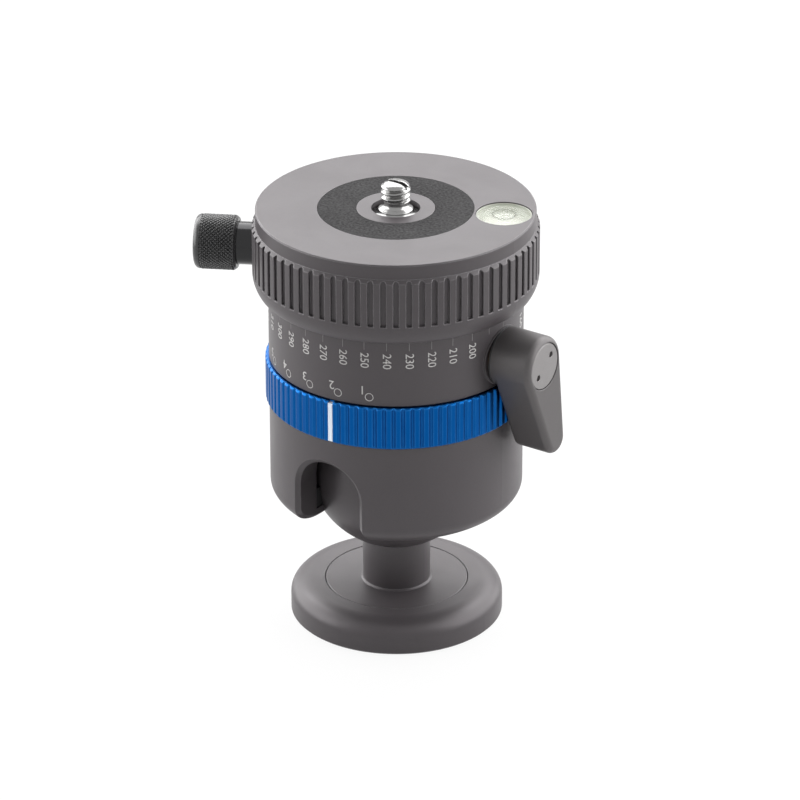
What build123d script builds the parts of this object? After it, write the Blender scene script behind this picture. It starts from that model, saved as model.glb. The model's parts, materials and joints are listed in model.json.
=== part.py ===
from build123d import *
import os
from math import asin, cos, pi, radians, sin, sqrt, tan

# Tripod ball head, standing on its tripod disc. Millimetres, +Z up. The origin
# is on the axis at the underside of the disc. The drop slot of the housing
# faces -Y and the locking lever turns about +X.

# ---- Fits and clearances ---------------------------------------------------
running = 0.03          # radial, a shaft that turns or slides in its bore
seating = 0.02          # radial, pieces of one body that go together
face_gap = 0.05         # axial, flat faces that turn on each other
sweep_gap = 0.3         # surfaces of two bodies that sweep past each other
thread_gap = 0.05       # radial, a plain cylinder that stands for a thread
cut_past = 1.0          # a cutter runs this far past what it cuts

# ---- Tripod disc and post --------------------------------------------------
disc_r = 23.4
disc_height = 7.4
disc_side = 3.9         # straight side below the large rounding
disc_round_width = 4.6
disc_edge = 0.4
flange_r = 15.7
flange_thickness = 4.4
flange_seam = 0.1       # open seam round the flange
seam_edge = 0.15
spigot_r = 8.9          # end of the post that shows in the underside
post_r = 7.45
post_edge = 0.35
neck_r = 5.0            # inside the ball
neck_length = 15.0
tripod_thread_r = 3.97  # 3/8-16, minor radius
tripod_thread_depth = 12.0
base_screw_count = 3
base_screw_pitch_r = 12.2
base_screw_r = 1.5
base_screw_head_r = 2.8
base_screw_length = 6.2
base_screw_socket = 1.8
base_screw_socket_depth = 1.0

# ---- Ball ------------------------------------------------------------------
ball_room = 1.55        # ball to the housing's bore
ball_reach = 28.8       # disc top to ball centre

# ---- Housing ---------------------------------------------------------------
housing_r = 27.65
rim_drop = 8.9          # ball centre down to the lower rim
rim_gap = 0.3           # round the ball at the rim
rim_lip = 0.25
rim_round_height = 5.25
seat_ledge_drop = 6.2   # ball centre down to the seat ring's ledge
neck_wall = 3.5         # bore to the outside of the neck
shoulder_drop = 3.25    # top of the ball down to the shoulder under the ring
slot_room = 0.3         # post to the sides of the slot
slot_bevel = 1.1
slot_centre_rise = 2.2  # ball centre up to the centre of the slot's arch
seat_height = 4.6
seat_fit = 0.05         # ball to seat and liner

# ---- Friction ring ---------------------------------------------------------
ring_proud = 0.77       # ribs outside the housing's wall
ring_height = 9.6
ring_gap = 0.1          # axial, at both faces
ring_running = 0.08
ring_edge = 0.3
ring_rib_count = 88
ring_groove_width = 1.0
ring_groove_floor = 0.25
ring_groove_depth = 0.4
index_angle = -85.6
index_width = 1.15
index_depth = 0.55
pin_count = 3
pin_first_angle = 30.0
pin_r = 1.1
pin_length = 6.1
pin_reach = 1.3         # pins into the friction ring
pin_rise = 1.53         # preload ring's underside up to the pins
ring_turn_down = 41.5   # towards the last friction mark
ring_turn_up = 16.9     # towards the first friction mark
window_side_gap = 2.0   # degrees past the pin at both ends
window_gap = 0.25

# ---- Preload ring and cup --------------------------------------------------
cup_skirt_rise = 10.7   # ball centre up to the cup's skirt
cup_slide = 0.08
liner_thickness = 0.85
liner_hole_r = 6.0
cup_crown = 1.1
cup_post_r = 3.8
cup_post_drop = 0.5     # spindle axis down to the post's top
spring_inner_r = 9.5
spring_outer_r = 18.0
spring_thickness = 0.5
spring_cone = 0.55
spring_gap = 0.25
preload_inner_r = 12.0
preload_height = 3.6
preload_offset = 0.05

# ---- Scale collar ----------------------------------------------------------
collar_wall = 3.15      # outside of the neck to the collar's wall
collar_height = 15.4
collar_edge = 0.3
lever_boss_r = 6.6
lever_boss_reach = 0.5  # boss face beyond the collar's wall

# ---- Clamp: block, spindle, plunger, lever ---------------------------------
lever_axis_drop = 8.7   # collar top down to the lever's axis
spindle_r = 4.0
plunger_half_angle = 30.0
plunger_reach = 3.0     # cone point beyond the head's axis
plunger_tip_r = 0.6
plunger_back = 13.9     # rear face from the head's axis
cone_gap = 0.06
bore_end_gap = 1.5
block_depth = 14.2
bush_r = 5.6
bush_inset = 0.2        # bush end outside the block
washer_outer_r = 6.5
washer_thickness = 0.3
hub_r = 6.5
wing_inner_gap = 0.35   # wing to the ring's ribs
wing_thickness = 9.6
wing_length = 20.25     # hub axis to the centre of the tip
wing_tip_r = 3.3
wing_lean = 15.0        # degrees from straight down, towards +Y
wing_outer_edge = 1.4
wing_inner_edge = 1.1
drive_square = 5.6
cap_r = 5.15
cap_thickness = 1.1
cap_inset = 0.1
cap_ring_gap = 0.12
cap_shank_r = 1.5
cap_shank_length = 5.0
cap_hole_r = 0.7
cap_hole_depth = 0.7
cap_hole_pitch_r = 3.05
cap_hole_angle = 38.0
cap_edge = 0.15

# ---- Pan bearing -----------------------------------------------------------
platform_gap = 0.6      # collar top to platform underside
pan_washer_width = 6.4
pan_washer_inset = 1.25  # collar wall in to the washer's edge
hub_post_r = 12.9
hub_head_r = 16.8
hub_head_thickness = 1.8
hub_floor = 3.0
hub_well_r = 5.6
retainer_r = 18.0
retainer_top_drop = 8.0  # platform top down to the retainer's top
hub_bolt_r = 2.5
hub_bolt_head_r = 4.2
hub_bolt_head_height = 4.0
hub_bolt_grip = 3.7      # thread length in the block
hub_bolt_socket = 4.0
hub_bolt_socket_depth = 2.2
dowel_r = 1.0
dowel_length = 4.0
dowel_pitch_r = 8.6
dowel_count = 2

# ---- Camera platform -------------------------------------------------------
platform_height = 18.3
platform_r = 31.0
platform_top_inset = 0.77    # rim inside the grooved wall
platform_rim_height = 3.3   # straight rim above the bevel
platform_bevel_height = 0.75
platform_edge = 0.25
platform_skirt_height = 3.6  # smooth band below the grooves, to its arc's start
platform_skirt_bow = 0.22    # how far the band's arc bows out past its chord
platform_bottom_inset = 1.1  # lower edge inside the grooved wall
platform_bottom_edge = 0.35
groove_count = 71
groove_width = 1.15
groove_depth = 0.65
groove_flare = 0.15     # bevel of the grooves' mouths
groove_bottom = 4.3     # underside up to the grooves
groove_top_drop = 3.55  # platform top down to the top of the arches
pad_level_gap = 0.45    # land between the pad and the level
pad_inner_r = 8.5
pad_depth = 1.0
pad_sink = 0.03
pad_gap = 0.06
well_r = 5.3
well_depth = 1.35
platform_web_drop = 5.85  # platform top down to the hub's cavity

# ---- Camera screw ----------------------------------------------------------
screw_thread_r = 3.175  # 1/4-20, major radius
screw_root_r = 4.5
screw_foot_r = 5.2
screw_flare_r = 3.77
screw_flare_height = 1.5
screw_shank_r = 2.62
screw_foot_height = 2.3
screw_flare_sink = 0.15  # flare's edge below the platform top
screw_shank_top = 2.3    # above the platform top
screw_thread_top = 4.75
screw_top = 6.1
screw_dome_r = 1.2       # flat at the top of the dome
screw_slot_width = 1.15
screw_slot_depth = 1.3

# ---- Level -----------------------------------------------------------------
level_r = 6.1
level_inset = 7.6       # grooved wall in to the level's centre
level_angle = 26.0
level_depth = 4.9
level_wall = 0.3
level_rim_drop = 0.45
level_floor = 0.8
vial_rim_drop = 0.15    # cup rim down to the vial's face
level_gap = 0.03

# ---- Pan knob --------------------------------------------------------------
knob_angle = -152.6
knob_height = 8.3       # platform underside up to the knob's axis
knob_r = 6.0
knob_standoff = 3.2     # grooved wall out to the knob's inner face
knob_length = 9.6
knob_round = 2.0
knob_inner_edge = 0.5
knob_shaft_r = 4.68
knob_shaft_gap = 0.07
knob_screw_r = 2.5
knob_shoulder_depth = 5.9  # shaft inside the platform
shoe_r = 2.0
shoe_proud = 2.0        # rear face outside the retainer
shoe_gap = 0.03
grip_overlap = 5.5      # shaft inside the grip

# ---- Radii and reaches worked out from the sizes above ----------------------
neck_outer_r = housing_r - collar_wall
bore_r = neck_outer_r - neck_wall
ball_r = bore_r - ball_room
slot_half_width = post_r + slot_room
ring_r = housing_r + ring_proud
wing_x = ring_r + wing_inner_gap
lever_outer_x = wing_x + wing_thickness
pan_washer_outer_r = housing_r - pan_washer_inset
platform_top_r = platform_r - platform_top_inset
platform_bottom_r = platform_r - platform_bottom_inset
level_place_r = platform_r - level_inset
pad_outer_r = level_place_r - level_r - pad_level_gap
knob_inner = platform_r + knob_standoff
shoe_back = retainer_r + shoe_proud
cup_inner_r = ball_r + seat_fit + liner_thickness + seating

# ---- Levels worked out from the sizes above ---------------------------------
ball_z = disc_height + ball_reach
rim_z = ball_z - rim_drop
ledge_z = ball_z - seat_ledge_drop
shoulder_z = ball_z + ball_r - shoulder_drop
ring_bottom = shoulder_z + ring_gap
ring_top = ring_bottom + ring_height
collar_bottom = ring_top + ring_gap
collar_top = collar_bottom + collar_height
lever_z = collar_top - lever_axis_drop
platform_bottom = collar_top + platform_gap
platform_top = platform_bottom + platform_height
knob_z = platform_bottom + knob_height
block_bottom = collar_top - block_depth
cup_skirt_z = ball_z + cup_skirt_rise
cup_top = ball_z + cup_inner_r + cup_crown
spring_bottom = cup_top + spring_gap
spring_top = spring_bottom + spring_cone + spring_thickness
preload_bottom = spring_top + preload_offset
pin_z = preload_bottom + pin_rise
web_z = platform_top - platform_web_drop
retainer_top = platform_top - retainer_top_drop
hub_head_bottom = retainer_top + face_gap
hub_head_top = hub_head_bottom + hub_head_thickness
boss_x = housing_r + lever_boss_reach
hub_x = boss_x + washer_thickness + face_gap
spindle_end = lever_outer_x - cap_inset - cap_thickness - seating

FROM_BASE = (Align.CENTER, Align.CENTER, Align.MIN)


# ---- Ways of making solids --------------------------------------------------
def disc(radius, bottom, top):
    """Upright cylinder on the head's axis."""
    return Pos(0, 0, bottom) * Cylinder(radius, top - bottom, align=FROM_BASE)


def ring(outer, inner, bottom, top):
    """Plain upright ring on the head's axis."""
    return disc(outer, bottom, top) - disc(inner, bottom, top)


def rod(radius, start, end, height):
    """Cylinder along +X at a height, between two distances from the axis."""
    return Pos(start, 0, height) * Rot(0, 90, 0) * Cylinder(radius, end - start, align=FROM_BASE)


def turned(outline):
    """Solid turned about the Z axis from an outline of radius and height."""
    return revolve(Plane.XZ * make_face(outline), Axis.Z)


def turned_points(*points):
    return turned(Polyline(*points, close=True))


def around(shape, count, first_angle=0.0):
    """Copies of a shape, evenly spaced about the Z axis."""
    return [Rot(0, 0, first_angle + 360.0 / count * i) * shape for i in range(count)]


def at_knob(shape):
    """Turns a shape made along +X to the pan knob's direction."""
    return Rot(0, 0, knob_angle) * shape


def sphere_height(sphere_radius, radius):
    """Height above a sphere's centre where it has the given radius."""
    return sqrt(sphere_radius**2 - radius**2)


# ---- Tripod disc, post, ball -------------------------------------------------
def make_base_disc():
    round_height = disc_height - disc_side
    flange_z = disc_height - flange_thickness
    recess_r = flange_r + flange_seam
    side = Polyline(
        (disc_r, disc_side), (disc_r, disc_edge), (disc_r - disc_edge, 0),
        (spigot_r + seating, 0), (spigot_r + seating, flange_z), (recess_r, flange_z),
        (recess_r, disc_height - seam_edge), (recess_r + seam_edge, disc_height),
        (disc_r - disc_round_width, disc_height),
    )
    rounding = EllipticalCenterArc(
        (disc_r - disc_round_width, disc_side), disc_round_width, round_height, 0, arc_size=90
    )
    body = turned(side + rounding)
    hole = disc(base_screw_r + thread_gap, 0, flange_z)
    hole += Cone(
        base_screw_head_r + thread_gap, base_screw_r + thread_gap,
        base_screw_head_r - base_screw_r, align=FROM_BASE,
    )
    return body - around(Pos(base_screw_pitch_r, 0, 0) * hole, base_screw_count)


def make_stem_post():
    flange_z = disc_height - flange_thickness
    shoulder = ball_z - sphere_height(ball_r, post_r) - face_gap
    body = turned_points(
        (0, 0), (spigot_r, 0), (spigot_r, flange_z), (flange_r, flange_z),
        (flange_r, disc_height - seam_edge), (flange_r - seam_edge, disc_height),
        (post_r + post_edge, disc_height), (post_r, disc_height + post_edge),
        (post_r, shoulder), (neck_r, shoulder), (neck_r, shoulder + neck_length),
        (0, shoulder + neck_length),
    )
    body -= disc(tripod_thread_r, 0, tripod_thread_depth)
    tapped = disc(base_screw_r + thread_gap, flange_z, base_screw_length + face_gap)
    return body - around(Pos(base_screw_pitch_r, 0, 0) * tapped, base_screw_count)


def make_base_screws():
    screw = disc(base_screw_r, 0, base_screw_length)
    screw += Cone(
        base_screw_head_r, base_screw_r, base_screw_head_r - base_screw_r, align=FROM_BASE
    )
    socket = extrude(RegularPolygon(base_screw_socket / 2, 6, major_radius=False),
                     base_screw_socket_depth)
    screw -= socket
    return Compound(children=around(Pos(base_screw_pitch_r, 0, 0) * screw, base_screw_count))


def make_ball():
    flat_z = -sphere_height(ball_r, post_r)
    body = Sphere(ball_r)
    body -= Pos(0, 0, flat_z) * Box(
        2 * ball_r, 2 * ball_r, ball_r, align=(Align.CENTER, Align.CENTER, Align.MAX)
    )
    body -= disc(neck_r + running, flat_z, flat_z + neck_length + face_gap)
    return Pos(0, 0, ball_z) * body


# ---- Housing -----------------------------------------------------------------
def slot_cutter(half_width, centre_z, outer):
    """Arched slot open at the bottom, along -Y from the head's axis."""
    arch = Pos(0, centre_z) * Circle(half_width)
    arch += Pos(0, centre_z / 2) * Rectangle(2 * half_width, centre_z)
    return extrude(Plane.XZ * arch, outer)


def drop_slot(extra=0.0):
    return slot_cutter(slot_half_width + extra, ball_z + slot_centre_rise, housing_r + cut_past)


def window_cutters():
    """Sectors through the neck in which the drive pins travel."""
    span = ring_turn_down + ring_turn_up + 2 * window_side_gap + 2 * pin_half_angle()
    start = -ring_turn_down - window_side_gap - pin_half_angle()
    half = pin_r + window_gap
    inner, outer = bore_r - cut_past, neck_outer_r + cut_past
    profile = Plane.XZ * Pos((inner + outer) / 2, pin_z) * Rectangle(outer - inner, 2 * half)
    sector = revolve(profile, Axis.Z, span)
    return around(Rot(0, 0, start) * sector, pin_count, pin_first_angle)


def pin_half_angle():
    return asin(pin_r / bore_r) * 180 / pi


def housing_outside(rim_r):
    """Outer form of the housing, solid, with the drop slot and its bevelled edge."""
    round_width = housing_r - rim_r - rim_lip
    side = Polyline(
        (housing_r, rim_z + rim_round_height), (housing_r, shoulder_z), (neck_outer_r, shoulder_z),
        (neck_outer_r, collar_top), (0, collar_top), (0, rim_z), (rim_r + rim_lip, rim_z),
    )
    rounding = EllipticalCenterArc(
        (rim_r + rim_lip, rim_z + rim_round_height), round_width, rim_round_height, 270, arc_size=90
    )
    body = turned(side + rounding) - drop_slot()
    return chamfer(body.edges().filter_by(borders_slot), slot_bevel)


def borders_slot(edge):
    """Whether an edge runs along the slot on the outside of the housing."""
    middle = edge.center()
    return abs(middle.X) < slot_half_width + seating and middle.Y < -bore_r


def make_housing_shell():
    inner_sphere = ball_r + rim_gap
    rim_r = sphere_height(inner_sphere, rim_drop)
    body = housing_outside(rim_r)
    body -= disc(bore_r, ledge_z, collar_top)
    body -= disc(rim_r, rim_z, ledge_z)
    body -= Pos(0, 0, ball_z) * Sphere(inner_sphere)
    body -= window_cutters()
    return body - rod(bush_r + seating, 0, housing_r, lever_z)


def make_ball_seat_ring():
    body = disc(bore_r - seating, ledge_z, ledge_z + seat_height)
    body -= Pos(0, 0, ball_z) * Sphere(ball_r + seat_fit)
    return body - drop_slot(sweep_gap)


def make_scale_collar():
    inner = neck_outer_r + seating
    body = turned_points(
        (inner, collar_bottom), (housing_r - collar_edge, collar_bottom),
        (housing_r, collar_bottom + collar_edge), (housing_r, collar_top - collar_edge),
        (housing_r - collar_edge, collar_top), (inner, collar_top),
    )
    boss = rod(lever_boss_r, neck_outer_r, boss_x, lever_z) & ring(boss_x, inner, collar_bottom, collar_top)
    body += boss
    return body - rod(bush_r + seating, 0, boss_x, lever_z)


# ---- Friction ring and preload ------------------------------------------------
def ring_groove():
    """One groove of the ribbed ring, full height, its floor narrower than its mouth."""
    floor_x = ring_r - ring_groove_depth
    mouth_x = ring_r + ring_groove_depth
    mouth = ring_groove_width / 2
    spread = mouth - ring_groove_floor / 2
    section = Polyline(
        (floor_x, -ring_groove_floor / 2), (floor_x, ring_groove_floor / 2),
        (mouth_x, mouth + spread), (mouth_x, -mouth - spread), close=True,
    )
    return Pos(0, 0, ring_bottom) * extrude(make_face(section), ring_height)


def pin_bore():
    return rod(pin_r + seating, 0, neck_outer_r + ring_running + pin_reach, pin_z)


def make_friction_ring():
    inner = neck_outer_r + ring_running
    body = turned_points(
        (inner, ring_bottom), (ring_r - ring_edge, ring_bottom), (ring_r, ring_bottom + ring_edge),
        (ring_r, ring_top - ring_edge), (ring_r - ring_edge, ring_top), (inner, ring_top),
    )
    body -= around(ring_groove(), ring_rib_count, index_angle)
    body -= around(pin_bore(), pin_count, pin_first_angle)
    return body - index_block(0)


def index_block(gap):
    width = index_width - 2 * gap
    depth = index_depth + ring_groove_depth
    block = Pos(ring_r - depth, 0, ring_bottom) * Box(
        depth, width, ring_height, align=(Align.MIN, Align.CENTER, Align.MIN)
    )
    return Rot(0, 0, index_angle) * block


def make_index_line():
    return index_block(seating) & disc(ring_r - seating, ring_bottom + ring_edge, ring_top - ring_edge)


def make_drive_pins():
    end = neck_outer_r + ring_running + pin_reach - seating
    pin = rod(pin_r, end - pin_length, end, pin_z)
    return Compound(children=around(pin, pin_count, pin_first_angle))


def make_preload_ring():
    body = ring(bore_r - thread_gap, preload_inner_r, preload_bottom, preload_bottom + preload_height)
    return body - around(pin_bore(), pin_count, pin_first_angle)


def make_cup_spring():
    """Cone-shaped spring washer, its outer edge down on the cup."""
    return turned_points(
        (spring_outer_r, spring_bottom), (spring_outer_r, spring_bottom + spring_thickness),
        (spring_inner_r, spring_top), (spring_inner_r, spring_top - spring_thickness),
    )


# ---- Pressure cup and clamp -----------------------------------------------------
def clamp_cone(gap, end):
    """Nose of the plunger about the lever's axis, its point beyond the head's axis."""
    slope = tan(radians(plunger_half_angle))
    point = -plunger_reach - gap / sin(radians(plunger_half_angle))
    length = end - point
    return Pos(point, 0, lever_z) * Rot(0, 90, 0) * Cone(0, length * slope, length, align=FROM_BASE)


def make_pressure_cup():
    body = disc(bore_r - cup_slide, cup_skirt_z, cup_top)
    body -= Pos(0, 0, ball_z) * Sphere(cup_inner_r)
    post = disc(cup_post_r, cup_top, lever_z - cup_post_drop)
    return body + (post - clamp_cone(cone_gap, 2 * cup_post_r))


def make_cup_liner():
    body = Sphere(cup_inner_r - seating) - Sphere(ball_r + seat_fit)
    body = Pos(0, 0, ball_z) * body
    body &= disc(bore_r, cup_skirt_z, cup_top)
    return body - disc(liner_hole_r, cup_skirt_z, cup_top)


def make_clamp_plunger():
    shoulder = plunger_shoulder()
    body = rod(spindle_r, shoulder, plunger_back, lever_z)
    body += clamp_cone(0, shoulder)
    slope = tan(radians(plunger_half_angle))
    tip = plunger_tip_r / slope - plunger_reach
    return body - rod(spindle_r, -plunger_reach - cut_past, tip, lever_z)


def plunger_shoulder():
    """Where the cone reaches the spindle's radius."""
    return spindle_r / tan(radians(plunger_half_angle)) - plunger_reach


def make_clamp_block():
    body = disc(bore_r - seating, block_bottom, collar_top)
    body -= rod(spindle_r + running, -plunger_reach - bore_end_gap, bore_r, lever_z)
    body -= disc(cup_post_r + running, block_bottom, lever_z)
    body -= disc(hub_bolt_r + thread_gap, collar_top - hub_bolt_grip - face_gap, collar_top)
    return body - around(dowel_bore(collar_top - dowel_length / 2, collar_top), dowel_count, 90)


def dowel_bore(bottom, top):
    return Pos(dowel_pitch_r, 0, 0) * disc(dowel_r + seating, bottom, top)


def make_spindle_bush():
    start = bore_r + bush_inset
    return rod(bush_r, start, boss_x, lever_z) - rod(spindle_r + running, start, boss_x, lever_z)


def make_lever_washer():
    end = boss_x + washer_thickness
    return rod(washer_outer_r, boss_x, end, lever_z) - rod(spindle_r + running, boss_x, end, lever_z)


def make_clamp_spindle():
    body = rod(spindle_r, plunger_back, hub_x, lever_z)
    square = Pos(hub_x, 0, lever_z) * Box(
        spindle_end - hub_x, drive_square, drive_square,
        align=(Align.MIN, Align.CENTER, Align.CENTER),
    )
    body += square
    return body - rod(
        cap_shank_r + thread_gap, spindle_end - cap_shank_length - face_gap, spindle_end, lever_z
    )


def wing_outline():
    """Teardrop in the plane across the lever's axis: hub circle, tip circle, tangents."""
    spread = asin((hub_r - wing_tip_r) / wing_length)
    sides = []
    for radius, centre in ((hub_r, 0.0), (wing_tip_r, -wing_length)):
        sides.append((radius * cos(spread), centre - radius * sin(spread)))
    (hub_y, hub_z), (tip_y, tip_z) = sides
    web = make_face(Polyline((hub_y, hub_z), (tip_y, tip_z), (-tip_y, tip_z), (-hub_y, hub_z), close=True))
    return web + Circle(hub_r) + Pos(0, -wing_length) * Circle(wing_tip_r)


def make_lock_lever():
    plane = Plane((wing_x, 0, 0), x_dir=(0, 1, 0), z_dir=(1, 0, 0))
    wing = extrude(plane * wing_outline(), wing_thickness)
    wing = fillet(wing.faces().sort_by(Axis.X)[-1].edges(), wing_outer_edge)
    wing = fillet(wing.faces().sort_by(Axis.X)[0].edges(), wing_inner_edge)
    wing = Rot(wing_lean, 0, 0) * wing
    body = Pos(0, 0, lever_z) * wing
    body += rod(hub_r, hub_x, wing_x + wing_inner_edge, lever_z)
    body -= Pos(hub_x, 0, lever_z) * Box(
        lever_outer_x - hub_x, drive_square + 2 * seating, drive_square + 2 * seating,
        align=(Align.MIN, Align.CENTER, Align.CENTER),
    )
    return body - rod(cap_r + cap_ring_gap, spindle_end, lever_outer_x, lever_z)


def make_lever_cap():
    face = lever_outer_x - cap_inset
    body = rod(cap_r, face - cap_thickness, face, lever_z)
    body = chamfer(body.faces().sort_by(Axis.X)[-1].edges(), cap_edge)
    body += rod(cap_shank_r, spindle_end - cap_shank_length, face - cap_thickness, lever_z)
    for angle in (cap_hole_angle, cap_hole_angle + 180):
        y = cap_hole_pitch_r * cos(radians(angle))
        z = cap_hole_pitch_r * sin(radians(angle))
        body -= Pos(0, y, z) * rod(cap_hole_r, face - cap_hole_depth, face, lever_z)
    return body


# ---- Pan bearing ---------------------------------------------------------------
def make_pan_hub():
    well_floor = collar_top + hub_floor
    body = turned_points(
        (hub_bolt_r + seating, collar_top), (hub_post_r, collar_top), (hub_post_r, hub_head_bottom),
        (hub_head_r, hub_head_bottom), (hub_head_r, hub_head_top), (hub_well_r, hub_head_top),
        (hub_well_r, well_floor), (hub_bolt_r + seating, well_floor),
    )
    return body - around(dowel_bore(collar_top, collar_top + dowel_length / 2), dowel_count, 90)


def make_hub_bolt():
    head_z = collar_top + hub_floor
    body = disc(hub_bolt_r, collar_top - hub_bolt_grip, head_z)
    body += disc(hub_bolt_head_r, head_z, head_z + hub_bolt_head_height)
    socket = extrude(RegularPolygon(hub_bolt_socket / 2, 6, major_radius=False), hub_bolt_socket_depth)
    return body - Pos(0, 0, head_z + hub_bolt_head_height - hub_bolt_socket_depth) * socket


def make_hub_dowels():
    pin = disc(dowel_r, collar_top - dowel_length / 2, collar_top + dowel_length / 2)
    return Compound(children=around(Pos(dowel_pitch_r, 0, 0) * pin, dowel_count, 90))


def make_pan_washer():
    inner = pan_washer_outer_r - pan_washer_width
    return ring(pan_washer_outer_r, inner, collar_top, platform_bottom - face_gap)


def make_platform_retainer():
    body = ring(retainer_r, hub_post_r + ring_running, platform_bottom, retainer_top)
    return body - at_knob(rod(shoe_r + running, 0, retainer_r + cut_past, knob_z))


# ---- Camera platform --------------------------------------------------------------
def groove_section(distance, widening):
    """Arched section of a groove on the plane at a distance from the axis."""
    arch_r = groove_width / 2 + widening
    bottom = platform_bottom + groove_bottom - widening
    arch_z = platform_top - groove_top_drop - groove_width / 2
    section = Pos(0, (bottom + arch_z) / 2) * Rectangle(2 * arch_r, arch_z - bottom)
    section += Pos(0, arch_z) * Circle(arch_r)
    return Plane((distance, 0, 0), x_dir=(0, 1, 0), z_dir=(1, 0, 0)) * section


def groove_cutter():
    """One groove of the platform's side, with an arched top and a bevelled mouth."""
    body = extrude(groove_section(platform_r - groove_depth, 0), groove_depth)
    mouth = [groove_section(platform_r + rise, groove_flare + rise) for rise in (-groove_flare, groove_flare)]
    return body + loft(mouth, ruled=True)


def make_camera_platform():
    bevel_top = platform_top - platform_rim_height
    skirt_z = platform_bottom + platform_skirt_height
    well_floor = platform_top - well_depth - screw_foot_height
    side = Polyline(
        (platform_r, skirt_z), (platform_r, bevel_top - platform_bevel_height),
        (platform_top_r, bevel_top), (platform_top_r, platform_top - platform_edge),
        (platform_top_r - platform_edge, platform_top), (well_r, platform_top),
        (well_r, well_floor), (screw_root_r + thread_gap, well_floor),
        (screw_root_r + thread_gap, web_z), (retainer_r + thread_gap, web_z),
        (retainer_r + thread_gap, platform_bottom),
        (platform_bottom_r - platform_bottom_edge, platform_bottom),
        (platform_bottom_r, platform_bottom + platform_bottom_edge),
    )
    skirt = SagittaArc(
        (platform_bottom_r, platform_bottom + platform_bottom_edge), (platform_r, skirt_z),
        -platform_skirt_bow,
    )
    body = turned(side + skirt)
    body -= around(groove_cutter(), groove_count)
    body -= ring(pad_outer_r + pad_gap, pad_inner_r - pad_gap, platform_top - pad_depth, platform_top)
    body -= level_place(disc(level_r + level_gap, platform_top - level_depth, platform_top))
    shoulder = platform_r - knob_shoulder_depth
    body -= at_knob(rod(knob_shaft_r + knob_shaft_gap, shoulder, platform_r + cut_past, knob_z))
    return body - at_knob(rod(knob_screw_r + thread_gap, 0, shoulder, knob_z))


def level_place(shape):
    x = level_place_r * cos(radians(level_angle))
    y = level_place_r * sin(radians(level_angle))
    return Pos(x, y, 0) * shape


def make_top_pad():
    top = platform_top - pad_sink
    return ring(pad_outer_r, pad_inner_r, platform_top - pad_depth, top)


def make_camera_screw():
    foot_top = platform_top - well_depth
    foot_bottom = foot_top - screw_foot_height
    flare_z = platform_top - screw_flare_sink
    side = Polyline(
        (screw_shank_r, flare_z + screw_flare_height), (screw_shank_r, platform_top + screw_shank_top),
        (screw_thread_r, platform_top + screw_shank_top), (screw_thread_r, platform_top + screw_thread_top),
    )
    dome = EllipticalCenterArc(
        (screw_dome_r, platform_top + screw_thread_top), screw_thread_r - screw_dome_r,
        screw_top - screw_thread_top, 0, arc_size=90,
    )
    foot = Polyline(
        (screw_dome_r, platform_top + screw_top), (0, platform_top + screw_top), (0, web_z + face_gap),
        (screw_root_r, web_z + face_gap), (screw_root_r, foot_bottom), (screw_foot_r, foot_bottom),
        (screw_foot_r, foot_top), (screw_flare_r, foot_top), (screw_flare_r, flare_z),
    )
    flare = EllipticalCenterArc(
        (screw_flare_r, flare_z + screw_flare_height), screw_flare_r - screw_shank_r,
        screw_flare_height, 180, arc_size=90,
    )
    body = turned(side + dome + foot + flare)
    return body - Pos(0, 0, platform_top + screw_top) * Box(
        2 * (screw_thread_r + cut_past), screw_slot_width, 2 * screw_slot_depth
    )


# ---- Level ---------------------------------------------------------------------
def make_level_cup():
    top = platform_top - level_rim_drop
    floor = platform_top - level_depth
    body = disc(level_r, floor, top)
    return level_place(body - disc(level_r - level_wall, floor + level_floor, top))


def make_level_vial():
    top = platform_top - level_rim_drop - vial_rim_drop
    floor = platform_top - level_depth + level_floor
    return level_place(disc(level_r - level_wall - level_gap, floor, top))


# ---- Pan knob -------------------------------------------------------------------
def make_pan_brake_shoe():
    body = rod(shoe_r, hub_post_r - cut_past, shoe_back, knob_z)
    return at_knob(body - disc(hub_post_r + shoe_gap, 0, platform_top))


def make_pan_knob_shaft():
    shoulder = platform_r - knob_shoulder_depth + face_gap
    body = rod(knob_screw_r, shoe_back, shoulder, knob_z)
    body += rod(knob_shaft_r, shoulder, knob_inner + grip_overlap, knob_z)
    return at_knob(body)


def make_pan_knob_grip():
    outer = knob_inner + knob_length
    body = rod(knob_r, knob_inner, outer, knob_z)
    body = fillet(body.faces().sort_by(Axis.X)[-1].edges(), knob_round)
    body = chamfer(body.faces().sort_by(Axis.X)[0].edges(), knob_inner_edge)
    return at_knob(body - rod(knob_shaft_r + seating, knob_inner, knob_inner + grip_overlap, knob_z))


nodes = {
    "base_disc": make_base_disc,
    "stem_post": make_stem_post,
    "base_screws": make_base_screws,
    "ball": make_ball,
    "housing_shell": make_housing_shell,
    "ball_seat_ring": make_ball_seat_ring,
    "scale_collar": make_scale_collar,
    "clamp_block": make_clamp_block,
    "cup_spring": make_cup_spring,
    "spindle_bush": make_spindle_bush,
    "lever_washer": make_lever_washer,
    "pan_hub": make_pan_hub,
    "hub_bolt": make_hub_bolt,
    "hub_dowels": make_hub_dowels,
    "pan_washer": make_pan_washer,
    "friction_ring": make_friction_ring,
    "index_line": make_index_line,
    "drive_pins": make_drive_pins,
    "preload_ring": make_preload_ring,
    "pressure_cup": make_pressure_cup,
    "cup_liner": make_cup_liner,
    "clamp_plunger": make_clamp_plunger,
    "clamp_spindle": make_clamp_spindle,
    "lock_lever": make_lock_lever,
    "lever_cap": make_lever_cap,
    "camera_platform": make_camera_platform,
    "platform_retainer": make_platform_retainer,
    "top_pad": make_top_pad,
    "camera_screw": make_camera_screw,
    "level_cup": make_level_cup,
    "level_vial": make_level_vial,
    "pan_brake_shoe": make_pan_brake_shoe,
    "pan_knob_shaft": make_pan_knob_shaft,
    "pan_knob_grip": make_pan_knob_grip,
}

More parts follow.
